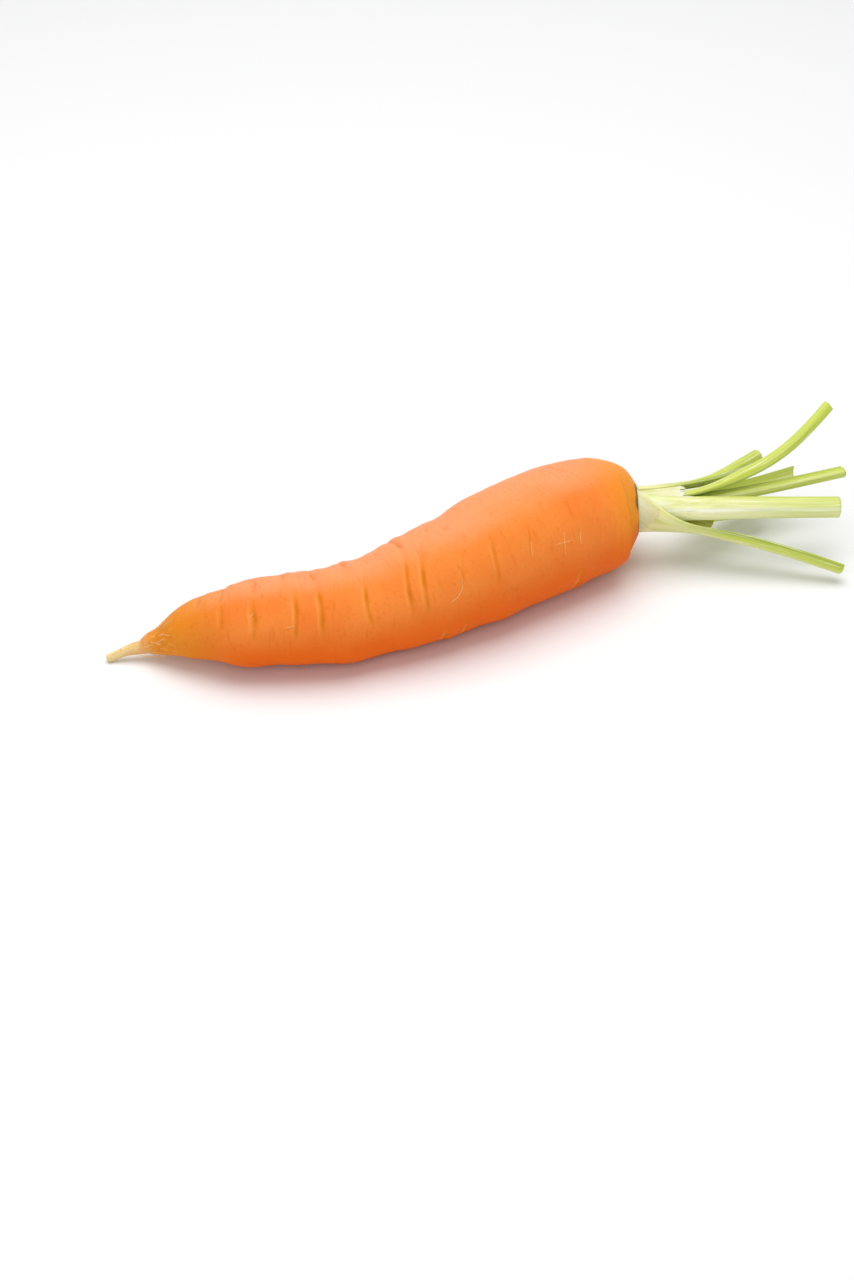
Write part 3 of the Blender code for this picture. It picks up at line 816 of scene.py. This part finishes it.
def stalk_surface(number, stalk, rib_depth):
    """Rings of points along the stalk and their marks. A ring runs across the outer face, round one edge,
    back across the inner face and round the other. The faces are heights over a circle of the curl's
    radius: outer = margin + (thickness - margin) sqrt(1 - place^2) + ribs, inner = channel (1 - place^2).
    The last rings shrink towards the middle of the cut end and dip into its pith, and a slant near the
    end moves each point back by a share of its distance from the end's centre line."""
    path, tangents, normals, sides = stalk_frames(stalk)
    run = lengths_along(path)[:, None]
    half, thick, curl = stalk_sections(stalk, run)
    even = np.linspace(1, -1, STALK_SPANS + 1)[None]
    place = (even + np.sin(even * math.pi / 2)) / 2
    face = np.sqrt(1 - place**2)
    free = smoothstep((run - 5 * MM) / (stalk.sheath * MM))
    ribs = np.cos(math.pi * stalk.ribs * place + number) * face
    uneven = ripple(place * 4, run / (9 * MM), 40 + number) * face
    margin = np.minimum(MARGIN, thick)
    outer = margin + (thick - margin) * face + (rib_depth * ribs + 0.07 * MM * uneven) * (0.25 + 0.75 * free)
    inner = CHANNEL * thick * face**2 * smoothstep(run / (stalk.sheath * MM))
    inset = 0.4 * margin
    reach = half * (1 + 0.035 * ripple(run / (6 * MM), 0 * run, 60 + number)) - inset
    round_edge = np.linspace(0, math.pi, EDGE_SPANS + 2)[None, 1:-1]
    edge_height = margin / 2 * (1 + np.cos(round_edge))
    edge_reach = reach + inset * np.sin(round_edge)
    heights = np.concatenate([outer, edge_height, inner[:, ::-1], edge_height[:, ::-1]], axis=1)
    across = np.concatenate([reach * place, -edge_reach, reach * place[:, ::-1], edge_reach[:, ::-1]], axis=1)
    rings, _ = curled(path[:, None], normals[:, None], sides[:, None], curl, across, heights)

    middle, spread = (outer[-1] + inner[-1]) / 2, reach[-1] * place[0]
    edge_middle, edge = np.full(EDGE_SPANS, margin[-1] / 2), np.full(EDGE_SPANS, reach[-1])
    mid, _ = curled(
        path[-1], normals[-1], sides[-1], curl[-1],
        0.96 * np.concatenate([spread, -edge, spread[::-1], edge]),
        np.concatenate([middle, edge_middle, middle[::-1], edge_middle]))
    shrink, dip = np.array(CUT_RINGS).T[..., None, None]
    cut = rings[-1] * (1 - shrink) + mid * shrink - tangents[-1] * dip * MM
    rings = np.concatenate([rings, cut])
    slope = 0.22 * math.sin(2.1 * number) * sides[-1] + 0.18 * math.cos(1.7 * number) * normals[-1]
    run, across, heights = (
        np.pad(a, ((0, len(cut)), (0, 0)), mode="edge") for a in (run, across / half, heights))
    slant = (rings - path[-1]) @ slope * smoothstep(1 - (run[-1] - run) / CUT_SLANT_RUN)
    rings = rings - tangents[-1] * slant[..., None]

    run = run + 0 * across
    is_cut = (np.arange(len(rings)) >= STALK_RINGS)[:, None] + 0 * across
    fibre = np.stack([across * 5 * MM, heights, run], -1) + (0.05 * number, 0.0, 0.0)
    return rings, {
        "run": run / run[-1], "place": np.clip(0.5 + 0.5 * across, 0, 1), "cut": is_cut, "fibre": fibre}


def end_faces(ring):
    """Faces that close a ring of a stalk: quads between its two faces and a many-sided one at each edge."""
    back = STALK_SPANS + 1 + EDGE_SPANS
    across = quads(np.stack([ring[:STALK_SPANS + 1], ring[back:back + STALK_SPANS + 1][::-1]]))
    edges = ring[STALK_SPANS:back + 1], np.append(ring[-EDGE_SPANS - 1:], ring[0])
    return [*across.tolist(), *(edge.tolist() for edge in edges)]


def make_stalk(number, look):
    """One leaf stalk, in its own colour, that stands for its solid."""
    stalk = STALKS[number - 1]
    broad = number == BROAD_STALK
    material = stalk_material(
        f"leaf_stalk_{number}", look, BANDS.get(number, PLAIN_BANDS), RIPENESS.get(number, PLAIN_RIPENESS),
        look.stripe_colour if broad else look.sheath_colour)
    rings, marks = stalk_surface(number, stalk, look.rib_depth)
    grid = corner_grid(*rings.shape[:2])
    faces = quads(grid)[:, ::-1].tolist() + end_faces(grid[0, :-1])
    faces += [face[::-1] for face in end_faces(grid[-1, :-1])]
    piece = put(f"stalk_{number}", rings, faces, material, **marks)
    node = f"leaf_stalk_{number}"
    check_box(piece, node)
    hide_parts(node)


# --- Crown ---


def make_scales(look):
    """The dried scales: a thin ring in the seat, whose height over the floor is a sum of ripples round it
    and whose wall leans out by the height squared. Outer and inner face are joined along the top."""
    rim, outward, front, up = crown()
    turn = np.linspace(0, 2 * math.pi, 360, endpoint=False)[None]
    rough = 0.62 + 0.5 * ripple(6 * np.cos(turn), 6 * np.sin(turn), 12)
    rough += 0.25 * ripple(25 * np.cos(turn), 25 * np.sin(turn), 13)
    height = look.scale_height * np.clip(rough, 0.25, 1.25)
    level, wall = np.array(SCALE_PROFILE).T[..., None]
    radius = SCALE_RADIUS + wall * MM + 0.10 * MM * level**2
    direction = front * np.cos(turn)[..., None] + up * np.sin(turn)[..., None]
    points = (
        rim - outward * SEAT_DEPTH + direction * radius[..., None] + outward * (height * level)[..., None])
    grid = corner_grid(*points.shape[:2])
    faces = quads(np.concatenate([grid, grid[:1]]))[:, ::-1].tolist()
    material = plain_plant_material("dried_scale", look.scale_colour, (0.30, 0.24, 0.08), 1.1 * MM, 0.75)
    scales = put("crown_scales", points, faces, material)


def stalk_face(stalk, run, across, rise):
    """Points over a stalk's outer face at distances along and across it, risen over its margin, with the
    outward directions there."""
    path, _, normals, sides = stalk_frames(stalk)
    ruler = lengths_along(path)
    path, normals, sides = (
        np.stack([np.interp(run, ruler, a[:, k]) for k in range(3)], -1) for a in (path, normals, sides))
    half, thick, curl = stalk_sections(stalk, run)
    lift = MARGIN + (thick - MARGIN) * np.sqrt(np.clip(1 - across**2, 0, 1)) + rise
    return curled(path, normals, sides, curl, across * half, lift)


def membrane_material(look, stalk_look):
    """Torn membrane: cream with lengthwise green streaks, whiter at its torn edge, brown-spotted at its
    foot and like the sheath where it melts into it."""
    material, tree = new_material(
        "membrane", IOR=1.4, Roughness=0.5, Subsurface_Weight=0.3, Subsurface_Radius=(1.5, 1.5, 0.8),
        Subsurface_Scale=MM)
    where = mark(tree, "fibre", "Vector")
    streaks = noise(tree, where, 900, 3, (1, 1, 0.12))
    sheath = layered(
        tree, stalk_look.sheath_colour, (streaks, stalk_look.pale_colour, (0.45, 0.0), (0.6, 0.7)))
    colour = layered(
        tree, look.membrane_colour,
        (streaks, stalk_look.pale_colour, (0.46, 0.0), (0.62, 0.9)),
        (streaks, stalk_look.green_colour, (0.60, 0.0), (0.72, 0.6)),
        (mark(tree, "torn"), stalk_look.stripe_colour, (0.0, 0.0), (1.0, 0.3)),
        (reckoned(tree, streaks, 0.5, mark(tree, "melt")), sheath, (0.40, 0.0), (0.85, 1.0)),
        (reckoned(tree, noise(tree, where, 500, 2), mark(tree, "dry")), look.scale_colour,
         (0.40, 0.0), (0.52, 0.85)))
    finish_material(tree, colour, (noise(tree, where, 700, 3, (1, 1, 0.1)), 0.5, 0.15 * MM))
    return material


def membrane_marks(along, across, run, whiter_from, dry, melt):
    """A membrane's marks, for both of its faces: how torn and dry it is, how far it melts into the sheath
    below it, and its fibre's direction."""
    torn = smoothstep((along - whiter_from) / (1 - whiter_from))
    marks = {"torn": torn, "dry": dry, "melt": melt, "fibre": np.stack([across, 0 * run, run], -1)}
    return {name: np.concatenate([values, values]) for name, values in marks.items()}


def make_web(material):
    """The torn membrane between the second and the third stalk: lines drawn from the side of one to the
    side of the other, bulging outward by a sine, as long at each line as a wavering torn edge allows."""
    along, between = np.meshgrid(np.linspace(0, 1, 48), np.linspace(0, 1, 60), indexing="ij")
    torn = 19 - 4.5 * np.sin(math.pi * between) + 1.1 * ripple(between * 24, 0 * between, 31)
    torn += 0.8 * ripple(between * 70, 0 * between, 32)
    run = along * torn * MM
    low, low_out = stalk_face(STALKS[2], run, -0.35 - 0.3 * along, -0.15 * MM)
    high, high_out = stalk_face(STALKS[1], run, 0.1 + 0.3 * along, 0.05 * MM)
    share = between[..., None]
    outward = unit(low_out * (1 - share) + high_out * share)
    bulge = 0.9 * np.sin(math.pi * between) * (1 - 0.5 * along)
    bulge += 0.12 * ripple(between * 16 + 3 * along, along * 5, 33)
    outer = low * (1 - share) + high * share + outward * (bulge * MM)[..., None]
    points, faces = thin_sheet(outer, outward, WEB_THICKNESS)
    marks = membrane_marks(along, between * 7 * MM, run, 0.75, 0 * run, 0 * run)
    web = put("neck_membrane", points, faces, material, **marks)


def make_flap(material):
    """A torn scale that hugs the first stalk's sheath: a sheet over the sheath's outer face, in the angle
    round the neck and the run along it, that grows longer downward by a smooth step plus ripples."""
    stalk = STALKS[0]
    along, between = np.meshgrid(np.linspace(0, 1, 40), np.linspace(0, 1, 180), indexing="ij")
    turn = np.radians(-70 + 184 * between)
    torn = 0.7 + 6.5 * smoothstep((np.radians(112) - turn) / 1.9)
    torn -= 0.85 * smoothstep((0.9 - turn) / 1.5) * (torn - 0.7)
    torn += 0.9 * ripple(between * 30, 0 * between, 51) + 0.4 * ripple(between * 110, 0 * between, 52)
    run = (0.2 + along * np.maximum(torn, 0.5)) * MM
    half, _, curl = stalk_sections(stalk, run)
    bend = math.radians(stalk.direction) - turn
    fade = smoothstep((turn + 0.6) / 0.9)
    rise = 0.02 + fade * (0.12 + 0.05 * ripple(turn * 9 + along, along * 3, 53) + 0.14 * along**3)
    outer, outward = stalk_face(stalk, run, bend * curl / half, rise * MM)
    points, faces = thin_sheet(outer, outward, FLAP_THICKNESS)
    dry, melt = 1 - smoothstep(run / (1.3 * MM)), 0.75 * smoothstep((along - 0.25) / 0.65)
    marks = membrane_marks(along * fade, turn * 7 * MM + run * 0.9, run * 0.6, 0.8, dry, melt)
    flap = put("neck_flap", points, faces, material, **marks)


# --- Rootlets ---


def thread_tube(points, thickness):
    """A tube along each path: the path plus a circle whose radius is the root of sin over its length."""
    tangent = unit(np.gradient(points, axis=1))
    across = unit(np.cross(tangent, (0.13, 0.27, 0.95)))
    other = np.cross(tangent, across)
    t = np.linspace(0, 1, points.shape[1])
    radius = thickness / 2 * np.sqrt(np.clip(np.sin(math.pi * (0.04 + 0.92 * t)), 0, 1))
    turn = np.linspace(0, 2 * math.pi, THREAD_SIDES, endpoint=False)
    circle = across[:, :, None] * np.cos(turn)[:, None] + other[:, :, None] * np.sin(turn)[:, None]
    return points[:, :, None] + circle * radius[:, None, None]


def make_rootlets(look):
    """Fine rootlets on the skin: curves in share and angle, taken to the skin's surface, with a tube along
    each. The tip's hairs wander by sine waves from seeded places and lie nearly lengthwise."""
    draw = random.Random(THREAD_SEED)
    t = np.linspace(0, 1, 24)
    shares, angles, lifts = [], [], []
    for stations in SKIN_THREADS:
        at = np.linspace(0, 1, len(stations))
        place, degrees, lift = np.array(stations).T
        shares.append(smooth(at, place, t))
        angles.append(np.radians(smooth(at, degrees, t)))
        lifts.append(smooth(at, lift, t))
    for _ in range(look.tip_hairs):
        begin, way = draw.uniform(-0.05, 0.05), draw.uniform(-0.25, 0.35)
        shares.append(begin + draw.uniform(0.02, 0.045) * t)
        angles.append(draw.uniform(-0.4, 2.3) + way * t + 0.03 * np.sin(5 * t + 9 * way))
        lifts.append(0 * t)
    share, angle = np.array(shares), np.array(angles)
    depth, _, _ = crease_marks(share, angle)
    height = skin_relief(share, angle, depth) + look.thickness * 0.22 + np.array(lifts) * MM
    tubes = thread_tube(skin_point(share, angle, height), look.thickness)
    count, rows, columns = tubes.shape[:3]
    first = np.arange(count)[:, None] * rows * columns
    faces = (quads(corner_grid(rows, columns)) + first[..., None]).reshape(-1, 4).tolist()
    start = first + np.arange(columns)
    faces += start[:, ::-1].tolist() + (start + (rows - 1) * columns).tolist()
    material = plain_plant_material("rootlet", look.thread_colour, (0.93, 0.62, 0.26), 0.8 * MM, 0.6)
    rootlets = put("rootlets", tubes, faces, material)


# --- Stage ---


def make_floor(look):
    """A flat square grid at Z = 0 with a plain, faintly mottled pale finish."""
    line = np.linspace(-0.5, 0.5, 9) * look.floor_size
    x, y = np.meshgrid(line, line, indexing="ij")
    material, tree = new_material("pale_floor", Roughness=0.85)
    mottled = noise(tree, add(tree, "TexCoord", {}).outputs["Object"], 4, 2)
    shade = tuple(0.97 * c for c in look.floor_colour)
    finish_material(tree, layered(tree, look.floor_colour, (mottled, shade, (0.3, 0.0), (0.7, 0.15))))
    faces = quads(corner_grid(9, 9, closed=False))[:, ::-1].tolist()
    new_object("floor", np.stack([x, y, 0 * x], -1), faces, material)


def add_light(name, place, aim, size, power):
    """A square soft light that faces the aim."""
    data = bpy.data.lights.new(name, "AREA")
    data.shape, data.size, data.energy = "SQUARE", size, power
    light = bpy.data.objects.new(name, data)
    light.location = place
    x, y, z = np.array(aim) - np.array(place)
    light.rotation_euler = (math.atan2(math.hypot(x, y), -z), 0, math.atan2(y, x) - math.pi / 2)
    bpy.context.scene.collection.objects.link(light)


def make_lights(look):
    """A white surround, a large overhead light set back a little and a faint soft one from the front."""
    world = bpy.data.worlds.new("white_surround")
    world.use_nodes = True
    background = world.node_tree.nodes["Background"]
    background.inputs["Color"].default_value = (1, 1, 1, 1)
    background.inputs["Strength"].default_value = look.surround
    bpy.context.scene.world = world
    add_light("overhead", (0.0, 0.12, 0.95), (0, 0, 0), 0.9, look.overhead)
    add_light("front", (-0.5, -0.8, 0.8), (0, 0, 0), 0.7, look.overhead * 0.3)


def make_camera(look):
    """A camera at an azimuth and elevation round the aim, shifted so that the carrot lies high in the
    frame."""
    azimuth, elevation = look.azimuth, look.elevation
    level = math.cos(elevation)
    back = np.array([math.sin(azimuth) * level, -math.cos(azimuth) * level, math.sin(elevation)])
    data = bpy.data.cameras.new("camera")
    data.lens, data.sensor_width = look.lens, 36
    data.shift_x, data.shift_y = 0.0206, -0.0477
    data.clip_start, data.clip_end = 0.02, 50
    camera = bpy.data.objects.new("camera", data)
    camera.location = np.array(look.aim) + back * look.distance
    camera.rotation_euler = (math.pi / 2 - elevation, 0, azimuth)
    bpy.context.scene.collection.objects.link(camera)
    bpy.context.scene.camera = camera


# --- Operators and panel ---


class CARROT_OT_skin(bpy.types.Operator):
    """Dress the root in its skin"""

    bl_idname = "carrot.skin"
    bl_label = "Skin"

    def execute(self, context):
        make_skin(context.scene.carrot_skin)
        return {"FINISHED"}


class CARROT_OT_stalks(bpy.types.Operator):
    """Make the nine leaf stalks"""

    bl_idname = "carrot.stalks"
    bl_label = "Leaf stalks"

    def execute(self, context):
        for number in range(1, len(STALKS) + 1):
            make_stalk(number, context.scene.carrot_stalks)
        return {"FINISHED"}


class CARROT_OT_crown(bpy.types.Operator):
    """Make the dried scales and the torn membrane round the neck"""

    bl_idname = "carrot.crown"
    bl_label = "Crown"

    def execute(self, context):
        look = context.scene.carrot_crown
        make_scales(look)
        material = membrane_material(look, context.scene.carrot_stalks)
        make_web(material)
        make_flap(material)
        return {"FINISHED"}


class CARROT_OT_rootlets(bpy.types.Operator):
    """Make the fine rootlets on the skin and the tip"""

    bl_idname = "carrot.rootlets"
    bl_label = "Rootlets"

    def execute(self, context):
        make_rootlets(context.scene.carrot_rootlets)
        return {"FINISHED"}


class CARROT_OT_stage(bpy.types.Operator):
    """Set the floor, the lights and the camera"""

    bl_idname = "carrot.stage"
    bl_label = "Stage"

    def execute(self, context):
        look = context.scene.carrot_stage
        make_floor(look)
        make_lights(look)
        make_camera(look)
        context.scene.view_settings.view_transform = "Standard"
        return {"FINISHED"}


SETTINGS = {
    "carrot_skin": CarrotSkin,
    "carrot_stalks": CarrotStalks,
    "carrot_crown": CarrotCrown,
    "carrot_rootlets": CarrotRootlets,
    "carrot_stage": CarrotStage,
}
STEPS = ("skin", "stalks", "crown", "rootlets", "stage")


class CARROT_PT_panel(bpy.types.Panel):
    """The carrot's pieces with their sizes and colours"""

    bl_idname = "CARROT_PT_panel"
    bl_label = "Carrot"
    bl_space_type = "VIEW_3D"
    bl_region_type = "UI"
    bl_category = "Carrot"

    def draw(self, context):
        for step in STEPS:
            box = self.layout.box()
            box.operator(f"carrot.{step}")
            group = getattr(context.scene, f"carrot_{step}")
            for name in group.bl_rna.properties.keys():
                if name not in ("rna_type", "name"):
                    box.prop(group, name)


CLASSES = (
    *SETTINGS.values(),
    CARROT_OT_skin,
    CARROT_OT_stalks,
    CARROT_OT_crown,
    CARROT_OT_rootlets,
    CARROT_OT_stage,
    CARROT_PT_panel,
)


def register():
    for cls in CLASSES:
        bpy.utils.register_class(cls)
    for name, group in SETTINGS.items():
        setattr(bpy.types.Scene, name, PointerProperty(type=group))


def unregister():
    for name in SETTINGS:
        delattr(bpy.types.Scene, name)
    for cls in reversed(CLASSES):
        bpy.utils.unregister_class(cls)


def main():
    """Makes the carrot and its stage."""
    register()
    bpy.ops.carrot.skin()
    bpy.ops.carrot.stalks()
    bpy.ops.carrot.crown()
    bpy.ops.carrot.rootlets()
    bpy.ops.carrot.stage()


if __name__ == "__main__":
    main()
